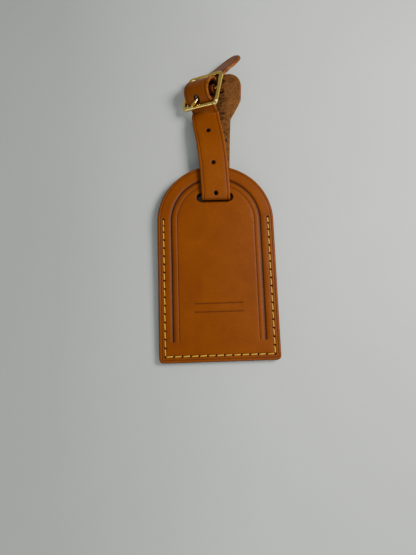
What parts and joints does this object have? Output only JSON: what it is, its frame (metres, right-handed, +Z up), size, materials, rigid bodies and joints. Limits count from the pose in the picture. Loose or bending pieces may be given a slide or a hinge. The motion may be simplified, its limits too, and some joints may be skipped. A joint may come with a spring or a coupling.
{
  "type": "luggage tag",
  "caption": "Arch-topped tan leather luggage tag with yellow stitching, a grooved border and a leather strap passed through its slot and closed on a small square brass buckle.",
  "frame": {"origin": "the middle of the footprint of the whole tag and strap, on the surface it lies on", "axes": "+Y runs from the bottom edge to the buckle, +Z up out of the front face, +X to the right seen from the front"},
  "size_m": [0.065, 0.1798, 0.0191],
  "materials": {
    "panel": "smooth waxed vegetable-tanned leather, burnished edges",
    "strap": "smooth grain face, rough flesh face, creased edges",
    "chape": "smooth strap leather, grain side out",
    "thread": "waxed yellow sewing thread",
    "card": "plain uncoated card",
    "brass": "polished cast brass"
  },
  "bodies": {
    "tag": {"back_panel": "panel", "front_panel": "panel", "needle_thread": "thread", "bobbin_thread": "thread"},
    "card": {"id_card": "card"},
    "strap": {"strap": "strap", "buckle_chape": "chape"},
    "buckle": {"buckle_frame": "brass"},
    "prong": {"buckle_prong": "brass"}
  },
  "joints": [
    {"name": "strap_swing", "type": "hinge", "parent": "tag", "child": "strap", "pos_m": [0.0007, 0.00376, 0.00405], "axis": [1, 0, 0], "range_deg": [0, 2.5]},
    {"name": "buckle_tilt", "type": "hinge", "parent": "strap", "child": "buckle", "pos_m": [-0.005, 0.06396, 0.01095], "axis": [0.8322, -0.152, 0.5332], "range_deg": [-1, 3.5]},
    {"name": "prong_lift", "type": "hinge", "parent": "buckle", "child": "prong", "pos_m": [-0.005, 0.06396, 0.01095], "axis": [-0.8322, 0.152, -0.5332], "range_deg": [0, 4]},
    {"name": "card_slide", "type": "slide", "parent": "tag", "child": "card", "axis": [0, 0.9997, 0.0237], "range_m": [0, 0.003]}
  ]
}
